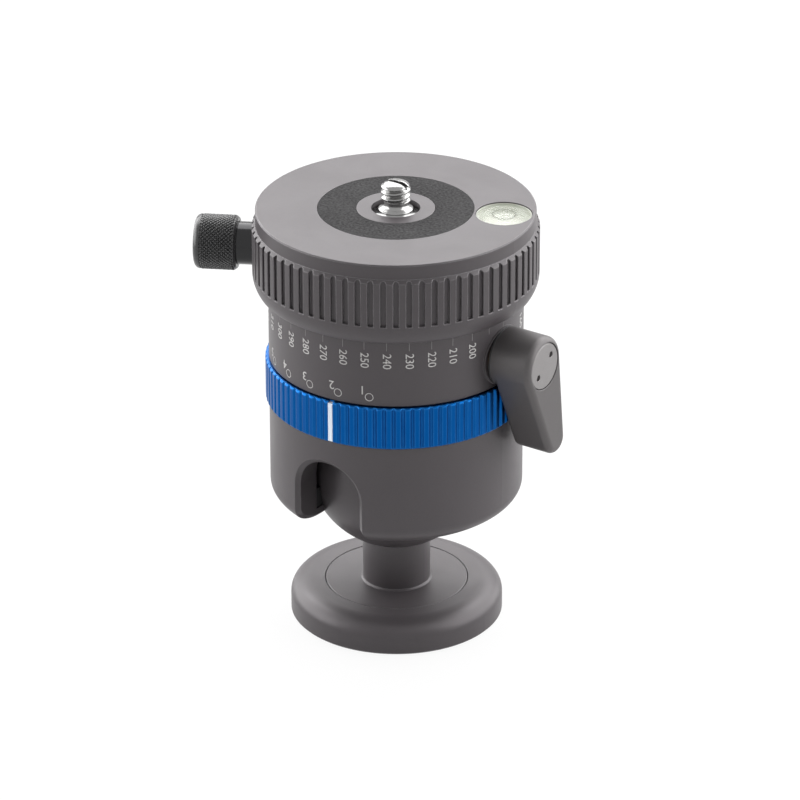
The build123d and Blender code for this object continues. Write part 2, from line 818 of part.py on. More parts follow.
os.makedirs("parts", exist_ok=True)
for node, make in nodes.items():
    export_step(make(), f"parts/{node}.step")
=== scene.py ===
"""Finish, marks and fine pieces of a tripod ball head, laid out as a Blender add-on.

Pieces are modelled in millimetres about the origin and put in place in metres.
"""

import json
import math

import bmesh
import bpy
from bpy.props import FloatProperty, FloatVectorProperty, IntProperty, PointerProperty
from mathutils import Matrix, Quaternion, Vector


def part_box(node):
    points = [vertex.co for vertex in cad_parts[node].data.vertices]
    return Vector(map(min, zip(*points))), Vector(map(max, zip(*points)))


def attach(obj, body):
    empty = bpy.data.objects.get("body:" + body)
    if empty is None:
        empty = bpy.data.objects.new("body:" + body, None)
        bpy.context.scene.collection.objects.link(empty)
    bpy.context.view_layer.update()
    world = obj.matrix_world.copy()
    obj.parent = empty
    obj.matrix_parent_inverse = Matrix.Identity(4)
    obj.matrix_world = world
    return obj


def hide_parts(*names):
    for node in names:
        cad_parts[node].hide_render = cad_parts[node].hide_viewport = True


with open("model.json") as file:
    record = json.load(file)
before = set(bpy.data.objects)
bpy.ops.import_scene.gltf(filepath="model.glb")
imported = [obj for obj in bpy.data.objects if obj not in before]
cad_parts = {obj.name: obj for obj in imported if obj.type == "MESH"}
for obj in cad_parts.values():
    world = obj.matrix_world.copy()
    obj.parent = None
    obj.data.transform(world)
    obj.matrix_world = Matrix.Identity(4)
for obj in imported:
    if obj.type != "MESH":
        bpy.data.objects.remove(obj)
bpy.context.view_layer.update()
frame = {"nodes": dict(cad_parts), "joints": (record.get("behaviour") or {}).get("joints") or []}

bl_info = {
    "name": "Tripod Ball Head",
    "version": (1, 0, 0),
    "blender": (4, 5, 0),
    "location": "View3D > Sidebar > Ball Head",
    "description": "Builds the finish, the scales and the fine pieces of a tripod ball head",
    "category": "Object",
}

MM = 0.001
joints = {joint["name"]: joint for joint in frame["joints"]}


# ---- Properties --------------------------------------------------------------------------------


def finish_colour(name, description, red, green, blue):
    """A colour property with its default in linear light."""
    return FloatVectorProperty(
        name=name, description=description, subtype="COLOR", size=3, min=0.0, max=1.0,
        default=(red, green, blue),
    )


def length_mm(name, description, default, low=0.0, high=200.0):
    """A size in millimetres."""
    return FloatProperty(name=name, description=description + ", in millimetres",
                         default=default, min=low, max=high, precision=3)


class BallHeadColours(bpy.types.PropertyGroup):
    """Colours of the finishes."""

    anodised: finish_colour("Grey anodising", "Housing, platform, disc and post", 0.063, 0.056, 0.0598)
    ring: finish_colour("Blue anodising", "Friction ring", 0.002, 0.078, 0.29)
    lever: finish_colour("Lever grey", "Powder coat of the lock lever", 0.086, 0.080, 0.081)
    cap: finish_colour("Cap grey", "Brushed cap on the lever's axis", 0.23, 0.22, 0.22)
    knurl: finish_colour("Knob black", "Knurled grip of the pan knob", 0.034, 0.034, 0.035)
    steel: finish_colour("Stainless steel", "Camera screw", 0.27, 0.268, 0.265)
    pad: finish_colour("Pad", "Rubber and cork pad under the camera", 0.024, 0.0232, 0.024)
    marks: finish_colour("Marks", "Scale numbers and friction marks", 0.50, 0.49, 0.48)
    index: finish_colour("Index line", "Painted line of the friction ring", 0.66, 0.71, 0.80)
    plastic: finish_colour("Bearing plastic", "Ball seat, liner and slide washer", 0.018, 0.018, 0.019)
    fluid: finish_colour("Level fluid", "Fluid of the round level", 0.36, 0.37, 0.32)
    dial: finish_colour("Level dial", "White floor of the round level", 0.66, 0.66, 0.61)


class BallHeadSizes(bpy.types.PropertyGroup):
    """Sizes of the pieces that are built here."""

    thread_pitch: length_mm("Thread pitch", "Pitch of the camera screw", 1.27, 0.5, 3.0)
    thread_depth: length_mm("Thread depth", "Crest to root of the camera screw", 0.72, 0.1, 1.5)
    knurl_count: IntProperty(name="Knurl count", description="Diamonds round the grip",
                             default=44, min=12, max=90)
    knurl_rows: IntProperty(name="Knurl rows", description="Diamonds along the grip",
                            default=8, min=2, max=30)
    knurl_depth: length_mm("Knurl depth", "Height of a diamond", 0.26, 0.05, 1.0)
    number_height: length_mm("Number height", "Height of the scale numbers", 1.8, 0.5, 5.0)
    number_width: FloatProperty(name="Number width", subtype="FACTOR",
                                description="Width of the scale numbers against the plain letters",
                                default=0.95, min=0.3, max=2.0)
    mark_height: length_mm("Mark height", "Height of the friction numbers", 1.95, 0.5, 5.0)
    level_depth: length_mm("Level depth", "Window of the round level down to its white floor",
                           2.2, 0.5, 3.2)
    level_ring: length_mm("Level ring", "Radius of the ring that the bubble is set to", 2.5, 0.5, 5.0)
    ink: length_mm("Ink", "How far the printed marks stand proud", 0.02, 0.005, 0.2)


class BallHeadStage(bpy.types.PropertyGroup):
    """Camera, floor and lights."""

    distance: FloatProperty(name="Distance", description="Camera to the middle of the head",
                            default=1.16738, min=0.1, subtype="DISTANCE", unit="LENGTH")
    elevation: FloatProperty(name="Elevation", description="Camera above the horizon",
                             default=math.radians(25.98), subtype="ANGLE", unit="ROTATION")
    azimuth: FloatProperty(name="Azimuth", description="Camera's direction from the head, from +X",
                           default=math.radians(-55.8), subtype="ANGLE", unit="ROTATION")
    roll: FloatProperty(name="Roll", description="Turn about the view axis",
                        default=math.radians(-0.1384), subtype="ANGLE", unit="ROTATION")
    lens: FloatProperty(name="Lens", description="Focal length, in millimetres",
                        default=240.74, min=1.0)
    floor: finish_colour("Floor", "Floor and backdrop", 0.80, 0.80, 0.80)


# ---- Modelling helpers -------------------------------------------------------------------------


def deselect_all():
    """Leaves edit mode and clears the selection."""
    if bpy.context.object and bpy.context.object.mode != "OBJECT":
        bpy.ops.object.mode_set(mode="OBJECT")
    bpy.ops.object.select_all(action="DESELECT")


def only(piece):
    """Makes the piece the one selected and active object."""
    deselect_all()
    piece.select_set(True)
    bpy.context.view_layer.objects.active = piece
    return piece


def edit(piece):
    """Opens the piece in edit mode with nothing selected."""
    only(piece)
    bpy.ops.object.mode_set(mode="EDIT")
    bpy.ops.mesh.select_all(action="DESELECT")


def pick(piece, kind, test):
    """Selects the vertices, edges or faces that pass the test."""
    bpy.ops.mesh.select_mode(type=kind)
    bpy.ops.mesh.select_all(action="DESELECT")
    mesh = bmesh.from_edit_mesh(piece.data)
    mesh.normal_update()
    parts = {"VERT": mesh.verts, "EDGE": mesh.edges, "FACE": mesh.faces}[kind]
    for part in [part for part in parts if test(part)]:
        part.select_set(True)
    bmesh.update_edit_mesh(piece.data)


def draw_out(at, shape):
    """Extrudes the selected round face from one (radius, height) through the others, about Z."""
    for radius, height in shape:
        bpy.ops.mesh.extrude_region_move(TRANSFORM_OT_translate={"value": (0, 0, height - at[1])})
        share = radius / at[0]
        bpy.ops.transform.resize(value=(share, share, 1), center_override=(0, 0, height))
        at = (radius, height)


def placed(piece, name, matrix):
    """Puts a millimetre piece in its place in metres, with the place in its mesh."""
    only(piece)
    piece.name = piece.data.name = name
    piece.matrix_world = Matrix.Scale(MM, 4) @ matrix @ piece.matrix_world
    bpy.ops.object.transform_apply(location=True, rotation=True, scale=True)
    return piece


def dressed(piece, body, material, smooth, replaces=()):
    """Gives a piece its body, finish and shading, smooth below an angle in degrees."""
    only(piece)
    bpy.ops.object.shade_smooth_by_angle(angle=math.radians(smooth))
    piece.data.materials.clear()
    piece.data.materials.append(material)
    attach(piece, body)
    if replaces:
        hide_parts(*replaces)
    return piece


def profile(points):
    """A chain of edges through (radius, height) points, drawn from one vertex by extrusion."""
    deselect_all()
    bpy.ops.mesh.primitive_plane_add(size=1.0)
    piece = bpy.context.object
    bpy.ops.object.mode_set(mode="EDIT")
    bpy.ops.mesh.select_all(action="SELECT")
    bpy.ops.mesh.merge(type="CENTER")
    bpy.ops.mesh.select_mode(type="VERT")
    bpy.ops.mesh.select_all(action="SELECT")
    radius, height = points[0]
    bpy.ops.transform.translate(value=(radius, 0, height))
    for (r0, z0), (r1, z1) in zip(points, points[1:]):
        bpy.ops.mesh.extrude_region_move(TRANSFORM_OT_translate={"value": (r1 - r0, 0, z1 - z0)})
    bpy.ops.object.mode_set(mode="OBJECT")
    return piece


def turned(points, steps):
    """A solid of revolution about Z: (radius, height) points of a ring, or from axis to axis."""
    piece = profile(points)
    edit(piece)
    bpy.ops.mesh.select_all(action="SELECT")
    bpy.ops.mesh.spin(steps=steps, angle=2 * math.pi, center=(0, 0, 0), axis=(0, 0, 1))
    bpy.ops.mesh.select_all(action="SELECT")
    bpy.ops.mesh.remove_doubles(threshold=0.0005)
    bpy.ops.mesh.normals_make_consistent(inside=False)
    bpy.ops.object.mode_set(mode="OBJECT")
    return piece


def apply_modifier(piece, kind, **settings):
    """Adds one modifier with its settings and applies it."""
    only(piece)
    modifier = piece.modifiers.new(kind.title(), kind)
    for key, value in settings.items():
        setattr(modifier, key, value)
    bpy.ops.object.modifier_apply(modifier=modifier.name)


def combined(piece, other, operation):
    """Boolean of two closed pieces. The second is used up."""
    apply_modifier(piece, "BOOLEAN", operation=operation, object=other, solver="EXACT")
    deselect_all()
    bpy.data.objects.remove(other)
    return piece


def joined(pieces):
    """One piece from several."""
    only(pieces[0])
    for piece in pieces[1:]:
        piece.select_set(True)
    bpy.ops.object.join()
    return bpy.context.object


def copied(piece, matrix):
    """A copy with its own mesh, moved by a matrix."""
    only(piece)
    bpy.ops.object.duplicate(linked=False)
    copy = bpy.context.object
    copy.matrix_world = matrix @ copy.matrix_world
    return copy


def on_wall(azimuth, radius, height, reading):
    """Matrix that puts a flat mark on an upright round wall, facing out.

    A mark that is read down the wall has its X pointing down. One that is read
    with the head turned over has its Y pointing down.
    """
    a = math.radians(azimuth)
    out = Vector((math.cos(a), math.sin(a), 0))
    along = Vector((-math.sin(a), math.cos(a), 0))
    up = Vector((0, 0, 1))
    x, y = (-up, along) if reading == "down" else (-along, -up)
    matrix = Matrix((x, y, out)).transposed().to_4x4()
    matrix.translation = out * radius + up * height
    return matrix


def pointing(direction, origin):
    """Matrix that turns +Z to a direction and moves the origin to a point."""
    matrix = Vector(direction).to_track_quat("Z", "Y").to_matrix().to_4x4()
    matrix.translation = Vector(origin)
    return matrix


# ---- Shader groups -----------------------------------------------------------------------------


class Graph:
    """Short way to add and link nodes in a tree."""

    def __init__(self, tree):
        self.tree = tree

    def add(self, kind, inputs=(), **settings):
        node = self.tree.nodes.new(kind)
        for key, value in settings.items():
            setattr(node, key, value)
        for key, value in dict(inputs).items():
            if isinstance(value, bpy.types.NodeSocket):
                self.tree.links.new(value, node.inputs[key])
            else:
                node.inputs[key].default_value = value
        return node

    def math(self, operation, a, b=0.0, clamp=False):
        node = self.add("ShaderNodeMath", {0: a, 1: b}, operation=operation, use_clamp=clamp)
        return node.outputs[0]

    def ramp(self, value, low, high, to_low=0.0, to_high=1.0):
        node = self.add("ShaderNodeMapRange", {"Value": value, "From Min": low, "From Max": high,
                                               "To Min": to_low, "To Max": to_high})
        return node.outputs["Result"]

    def mix(self, factor, a, b):
        node = self.add("ShaderNodeMix", data_type="RGBA")
        for key, value in (("Factor_Float", factor), ("A_Color", a), ("B_Color", b)):
            socket = next(s for s in node.inputs if s.identifier == key)
            if isinstance(value, bpy.types.NodeSocket):
                self.tree.links.new(value, socket)
            else:
                socket.default_value = value
        return next(s for s in node.outputs if s.identifier == "Result_Color")

    def scaled(self, colour, share):
        node = self.add("ShaderNodeVectorMath", {0: colour}, operation="SCALE")
        self.tree.links.new(share, node.inputs["Scale"])
        return node.outputs[0]

    def seen(self):
        """One where a ray comes from the camera, a reflection or glass, and otherwise nothing."""
        rays = self.add("ShaderNodeLightPath").outputs
        return self.math("ADD", self.math("ADD", rays["Is Camera Ray"], rays["Is Glossy Ray"]),
                         rays["Is Transmission Ray"], clamp=True)


def group(name, inputs, outputs):
    """A new shader node group with named sockets, and the graph and ends to fill it."""
    tree = bpy.data.node_groups.new(name, "ShaderNodeTree")
    for label, kind, default in inputs:
        socket = tree.interface.new_socket(label, in_out="INPUT", socket_type="NodeSocket" + kind)
        socket.default_value = default
    for label, kind in outputs:
        tree.interface.new_socket(label, in_out="OUTPUT", socket_type="NodeSocket" + kind)
    graph = Graph(tree)
    return tree, graph, graph.add("NodeGroupInput").outputs, graph.add("NodeGroupOutput").inputs


def make_grain_group():
    """Fine blasted grain of the metal: a slight change of colour and a height."""
    tree, graph, given, out = group(
        "Blasted Grain",
        [("Color", "Color", (0.1, 0.1, 0.1, 1)), ("Grain per metre", "Float", 9000.0),
         ("Contrast", "Float", 0.12)],
        [("Color", "Color"), ("Height", "Float")],
    )
    place = graph.add("ShaderNodeTexCoord").outputs["Object"]
    fine = graph.add("ShaderNodeTexNoise", {"Vector": place, "Scale": given["Grain per metre"],
                                            "Detail": 3.0, "Roughness": 0.6}).outputs["Fac"]
    low = graph.math("SUBTRACT", 1.0, given["Contrast"])
    high = graph.math("ADD", 1.0, given["Contrast"])
    shade = graph.ramp(fine, 0.3, 0.7, low, high)
    graph.tree.links.new(graph.scaled(given["Color"], shade), out["Color"])
    graph.tree.links.new(fine, out["Height"])
    return tree


def make_handling_group():
    """Broad cloudy change of roughness and colour, as handling leaves on metal."""
    tree, graph, given, out = group(
        "Handling",
        [("Color", "Color", (0.1, 0.1, 0.1, 1)), ("Roughness", "Float", 0.4),
         ("Amount", "Float", 0.06)],
        [("Color", "Color"), ("Roughness", "Float")],
    )
    place = graph.add("ShaderNodeTexCoord").outputs["Object"]
    clouds = graph.add("ShaderNodeTexNoise", {"Vector": place, "Scale": 95.0, "Detail": 4.0,
                                              "Roughness": 0.55, "Distortion": 0.4}).outputs["Fac"]
    swing = graph.math("MULTIPLY", graph.ramp(clouds, 0.3, 0.7, -1.0, 1.0), given["Amount"])
    rough = graph.math("ADD", given["Roughness"], swing, clamp=True)
    shade = graph.math("SUBTRACT", 1.0, graph.math("MULTIPLY", swing, 0.5))
    graph.tree.links.new(graph.scaled(given["Color"], shade), out["Color"])
    graph.tree.links.new(rough, out["Roughness"])
    return tree


def make_turning_group():
    """Fine rings of a turned surface about the head's axis."""
    tree, graph, given, out = group(
        "Turning Lines", [("Lines per metre", "Float", 4200.0)], [("Height", "Float")],
    )
    place = graph.add("ShaderNodeTexCoord").outputs["Object"]
    split = graph.add("ShaderNodeSeparateXYZ", {0: place}).outputs
    radius = graph.math("SQRT", graph.math("ADD", graph.math("MULTIPLY", split["X"], split["X"]),
                                           graph.math("MULTIPLY", split["Y"], split["Y"])))
    travel = graph.math("ADD", radius, split["Z"])
    place_on_lines = graph.math("MULTIPLY", travel, given["Lines per metre"])
    rings = graph.add("ShaderNodeCombineXYZ", {"X": place_on_lines})
    lines = graph.add("ShaderNodeTexNoise", {"Vector": rings.outputs[0], "Scale": 1.0, "Detail": 2.0})
    graph.tree.links.new(lines.outputs["Fac"], out["Height"])
    return tree


def make_edge_group():
    """Lighter edges, partly polished wear and partly a painted highlight, found from how far a
    softened normal leans off the face.
    """
    tree, graph, given, out = group(
        "Edge Wear And Glint",
        [("Color", "Color", (0.1, 0.1, 0.1, 1)), ("Edge Color", "Color", (0.5, 0.5, 0.5, 1)),
         ("Soft Normal", "Vector", (0.0, 0.0, 1.0)), ("Amount", "Float", 0.5)],
        [("Color", "Color")],
    )
    face = graph.add("ShaderNodeNewGeometry").outputs["Normal"]
    facing = graph.add("ShaderNodeVectorMath", {0: face, 1: given["Soft Normal"]},
                       operation="DOT_PRODUCT")
    lean = graph.math("SUBTRACT", 1.0, facing.outputs["Value"])
    place = graph.add("ShaderNodeTexCoord").outputs["Object"]
    patchy = graph.add("ShaderNodeTexNoise",
                       {"Vector": place, "Scale": 320.0, "Detail": 3.0}).outputs["Fac"]
    # The lightened edge share stands for polished wear and for a painted highlight where edges catch
    # the light.
    worn_and_glinting = graph.math("MULTIPLY", graph.ramp(lean, 0.02, 0.12),
                      graph.ramp(patchy, 0.3, 0.6, 0.6, 1.0))
    edge = graph.math("MULTIPLY", worn_and_glinting, given["Amount"], clamp=True)
    graph.tree.links.new(graph.mix(edge, given["Color"], given["Edge Color"]), out["Color"])
    return tree


def groups():
    """The shared shader groups, made once."""
    makers = {"Blasted Grain": make_grain_group, "Handling": make_handling_group,
              "Turning Lines": make_turning_group, "Edge Wear And Glint": make_edge_group}
    return {name: bpy.data.node_groups.get(name) or make() for name, make in makers.items()}


# ---- Materials ---------------------------------------------------------------------------------


def rgba(colour):
    return (*colour, 1.0)


def blank(name):
    """An empty node material, its graph and its output."""
    material = bpy.data.materials.new(name)
    material.use_nodes = True
    material.node_tree.nodes.clear()
    graph = Graph(material.node_tree)
    return material, graph, graph.add("ShaderNodeOutputMaterial")


def metal_finish(name, colour, roughness, metallic, grain=9000.0, contrast=0.12, amount=0.06,
                 bump=0.000004, turning=0.0, specular=0.5, edge=0.00025, alpha=1.0, wear_and_glint=0.0,
                 worn_and_glinting=(0.30, 0.29, 0.30)):
    """A metal, coat or plastic with grain, handling, turning lines and softened edges, lightened for
    wear and for a painted highlight.

    Grain and turning are counted per metre, bump and edge are in metres.
    """
    material, graph, output = blank(name)
    shared = groups()
    handled = graph.add("ShaderNodeGroup", {"Color": rgba(colour), "Roughness": roughness,
                                            "Amount": amount}, node_tree=shared["Handling"]).outputs
    grained = graph.add("ShaderNodeGroup", {"Color": handled["Color"], "Grain per metre": grain,
                                            "Contrast": contrast},
                        node_tree=shared["Blasted Grain"]).outputs
    shade, height = grained["Color"], grained["Height"]
    if turning:
        lines = graph.add("ShaderNodeGroup", {"Lines per metre": turning},
                          node_tree=shared["Turning Lines"]).outputs
        height = graph.math("ADD", height, lines["Height"])
    soft = graph.add("ShaderNodeBevel", {"Radius": edge}, samples=4).outputs["Normal"]
    # Edge lightening: partly polished wear, partly a painted highlight along the edges.
    if wear_and_glint:
        edges = graph.add("ShaderNodeGroup", {"Color": shade, "Soft Normal": soft,
                                              "Edge Color": rgba(worn_and_glinting), "Amount": wear_and_glint},
                          node_tree=shared["Edge Wear And Glint"]).outputs
        shade = edges["Color"]
    normal = graph.add("ShaderNodeBump", {"Height": height, "Strength": 0.5, "Distance": bump,
                                          "Normal": soft}).outputs["Normal"]
    shader = graph.add("ShaderNodeBsdfPrincipled", {
        "Base Color": shade, "Roughness": handled["Roughness"], "Metallic": metallic,
        "Normal": normal, "Specular IOR Level": specular, "Alpha": alpha,
    })
    graph.tree.links.new(shader.outputs[0], output.inputs["Surface"])
    return material


def level_finish(name, wall, dial, floor_height):
    """Moulded body of the round level: tinted walls that run into a white floor."""
    material, graph, output = blank(name)
    place = graph.add("ShaderNodeTexCoord").outputs["Object"]
    height = graph.add("ShaderNodeSeparateXYZ", {0: place}).outputs["Z"]
    share = graph.ramp(height, floor_height + 0.0001, floor_height + 0.0009)
    tinted = graph.mix(share, rgba(dial), rgba(wall))
    handled = graph.add("ShaderNodeGroup", {"Color": tinted, "Roughness": 0.35, "Amount": 0.05},
                        node_tree=groups()["Handling"]).outputs
    shader = graph.add("ShaderNodeBsdfPrincipled", {"Base Color": handled["Color"],
                                                    "Roughness": handled["Roughness"]})
    graph.tree.links.new(shader.outputs[0], output.inputs["Surface"])
    return material


def make_materials(colours, sizes):
    """Every finish of the head by name."""
    grey = {"amount": 0.03, "turning": 2600.0, "specular": 0.42}
    clear = {"contrast": 0.02, "amount": 0.02}
    vial_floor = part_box("level_vial")[1].z - sizes.level_depth * MM
    return {
        # The wear setting lightens edges: polished wear together with a painted highlight on the
        # edges.
        "anodised": metal_finish("Grey Anodised", colours.anodised, 0.42, 0.25, wear_and_glint=0.35, **grey),
        "platform": metal_finish("Platform Anodised", colours.anodised, 0.42, 0.25, wear_and_glint=0.6, **grey),
        "collar": metal_finish("Collar Anodised", colours.anodised, 0.42, 0.25, wear_and_glint=0.1, **grey),
        # The ring's lighter blue edges are partly wear and partly a painted highlight.
        "ring": metal_finish("Blue Anodised", colours.ring, 0.36, 1.0, contrast=0.08, wear_and_glint=0.4,
                             worn_and_glinting=(0.05, 0.26, 0.62), edge=0.0005),
        "lever": metal_finish("Lever Coat", colours.lever, 0.44, 0.4, grain=6000.0, contrast=0.10,
                              amount=0.03, wear_and_glint=0.35),
        "cap": metal_finish("Brushed Cap", colours.cap, 0.36, 0.7, grain=14000.0),
        # The knurl's lightened diamond tips are partly wear and partly painted glints.
        "knurl": metal_finish("Knurled Black", colours.knurl, 0.24, 0.0, contrast=0.2,
                              edge=0.0001, wear_and_glint=0.4, worn_and_glinting=(0.22, 0.22, 0.22)),
        "dark_steel": metal_finish("Polished Dark Steel", (0.034, 0.034, 0.035), 0.16, 0.9,
                                   contrast=0.05),
        "steel": metal_finish("Stainless Steel", colours.steel, 0.19, 1.0, contrast=0.05,
                              amount=0.04),
        "screw_steel": metal_finish("Screw Steel", (0.38, 0.38, 0.39), 0.28, 1.0),
        "light": metal_finish("Light Anodised", (0.21, 0.205, 0.205), 0.38, 0.6),
        "aluminium": metal_finish("Bare Aluminium", (0.60, 0.60, 0.61), 0.34, 1.0, turning=3400.0),
        "bronze": metal_finish("Bearing Bronze", (0.45, 0.27, 0.11), 0.38, 1.0, turning=3400.0),
        "plastic": metal_finish("Bearing Plastic", colours.plastic, 0.45, 0.0, amount=0.04),
        "pad": metal_finish("Camera Pad", colours.pad, 0.85, 0.0, grain=1700.0, contrast=0.9,
                            bump=0.00016, specular=0.2),
        "marks": metal_finish("Printed Marks", colours.marks, 0.55, 0.0, contrast=0.05),
        "ticks": metal_finish("Engraved Ticks", (0.21, 0.20, 0.20), 0.55, 0.0, contrast=0.05),
        "index": metal_finish("Index Paint", colours.index, 0.45, 0.0, contrast=0.04),
        "level_body": level_finish("Level Body", colours.fluid, colours.dial, vial_floor),
        "window": metal_finish("Level Window", (0.62, 0.66, 0.56), 0.08, 0.0, alpha=0.16, **clear),
        "bubble": metal_finish("Level Bubble", (0.50, 0.52, 0.46), 0.20, 0.0, alpha=0.30, **clear),
        "level_ring": metal_finish("Level Ring", (0.16, 0.17, 0.14), 0.50, 0.0, contrast=0.04),
    }


NODE_FINISHES = {
    "anodised": ("base_disc", "stem_post", "housing_shell", "ball"),
    "platform": ("camera_platform",),
    "collar": ("scale_collar",),
    "ring": ("friction_ring",),
    "lever": ("lock_lever",),
    "cap": ("lever_cap",),
    "knurl": ("pan_knob_grip",),
    "dark_steel": ("pan_knob_shaft", "hub_bolt"),
    "steel": ("camera_screw",),
    "screw_steel": ("base_screws", "clamp_spindle", "clamp_plunger", "hub_dowels", "drive_pins",
                    "cup_spring"),
    "light": ("pan_hub", "platform_retainer"),
    "aluminium": ("clamp_block", "pressure_cup", "preload_ring"),
    "bronze": ("spindle_bush", "pan_brake_shoe"),
    # The level cup takes this near-black finish; its dark rim partly stands in for the shade of the
    # recess round the level.
    "plastic": ("ball_seat_ring", "cup_liner", "pan_washer", "lever_washer", "level_cup"),
    "pad": ("top_pad",),
    "index": ("index_line",),
    "level_body": ("level_vial",),
}

materials = {}


class BALLHEAD_OT_finishes(bpy.types.Operator):
    """Make the finishes and put them on the frame's pieces"""

    bl_idname = "ballhead.finishes"
    bl_label = "Finishes"

    def execute(self, context):
        scene = context.scene
        materials.update(make_materials(scene.ball_head_colours, scene.ball_head_sizes))
        finish_of = {node: finish for finish, nodes in NODE_FINISHES.items() for node in nodes}
        for name, node in frame["nodes"].items():
            node.data.materials.clear()
            node.data.materials.append(materials[finish_of[name]])
        return {"FINISHED"}


# ---- Camera screw ------------------------------------------------------------------------------

CREST_RADIUS = 3.175
THREAD_START, THREAD_END = 98.35, 102.55
STANDARD_PITCH = 1.27  # the thread's shape is drawn at this pitch
ROOT_EASE, CREST_EASE = 0.06, 0.14
SCREW_FOOT = ((0, 94.9), (5.15, 94.9), (5.15, 95.05), (5.0, 95.35), (4.2, 95.6), (3.77, 96.2),
              (3.77, 96.4), (3.55, 96.62), (3.0, 96.85), (2.7, 97.2), (2.62, 97.8), (2.62, 98.9),
              (0, 98.9))
SCREW_DOME = ((0, 97.0), (3.3, 97.0), (3.3, 101.25), (3.05, 101.75), (2.6, 102.15),
              (1.95, 102.45), (1.2, 102.6), (0, 102.62))
SLOT_SIZE, SLOT_MIDDLE = (8.0, 1.15, 2.6), (0, 0, 102.6)


class BALLHEAD_OT_camera_screw(bpy.types.Operator):
    """Cut the thread, dome and slot of the camera screw"""

    bl_idname = "ballhead.camera_screw"
    bl_label = "Camera Screw"

    def execute(self, context):
        sizes = context.scene.ball_head_sizes
        pitch, crest = sizes.thread_pitch, CREST_RADIUS
        root = crest - sizes.thread_depth
        start = THREAD_START - 1.6 * pitch
        shape = ((root, 0.0), (root + ROOT_EASE, 0.10), (crest - CREST_EASE, 0.38), (crest, 0.52),
                 (crest, 0.75), (crest - CREST_EASE, 0.89), (root + ROOT_EASE, 1.17),
                 (root, STANDARD_PITCH))
        thread = profile([(radius, start + height * pitch / STANDARD_PITCH)
                          for radius, height in shape])
        apply_modifier(thread, "SCREW", angle=2 * math.pi, screw_offset=pitch, iterations=6,
                       axis="Z", steps=56, render_steps=56, use_merge_vertices=True,
                       merge_threshold=0.001)
        edit(thread)
        bpy.ops.mesh.select_all(action="SELECT")
        bpy.ops.mesh.remove_doubles(threshold=0.002)
        for height, normal in ((THREAD_START, (0, 0, -1)), (THREAD_END, (0, 0, 1))):
            bpy.ops.mesh.select_all(action="SELECT")
            bpy.ops.mesh.bisect(plane_co=(0, 0, height), plane_no=normal,
                                use_fill=True, clear_outer=True)
        bpy.ops.mesh.select_all(action="SELECT")
        bpy.ops.mesh.normals_make_consistent(inside=False)
        bpy.ops.object.mode_set(mode="OBJECT")
        combined(thread, turned(SCREW_DOME, 56), "INTERSECT")
        screw = combined(turned(SCREW_FOOT, 64), thread, "UNION")
        deselect_all()
        bpy.ops.mesh.primitive_cube_add(size=1.0, location=SLOT_MIDDLE, scale=SLOT_SIZE)
        slot = bpy.context.object
        bpy.ops.object.transform_apply(location=True, rotation=True, scale=True)
        combined(screw, slot, "DIFFERENCE")
        apply_modifier(screw, "BEVEL", width=0.05, segments=2, limit_method="ANGLE",
                       angle_limit=math.radians(50))
        placed(screw, "camera_stud", Matrix.Identity(4))
        dressed(screw, "camera_platform", materials["steel"], 40.0, ("camera_screw",))
        return {"FINISHED"}


# ---- Pan knob ----------------------------------------------------------------------------------

GRIP_RADIUS, GRIP_LENGTH, GRIP_ROUNDING, GRIP_INSET = 6.0, 9.34, 1.4, 0.5
ROUNDING_STEPS = 6
DIAMOND_LAND = 0.16
SHAFT_HOLE_RADIUS, SHAFT_HOLE_DEPTH = 4.75, 0.6


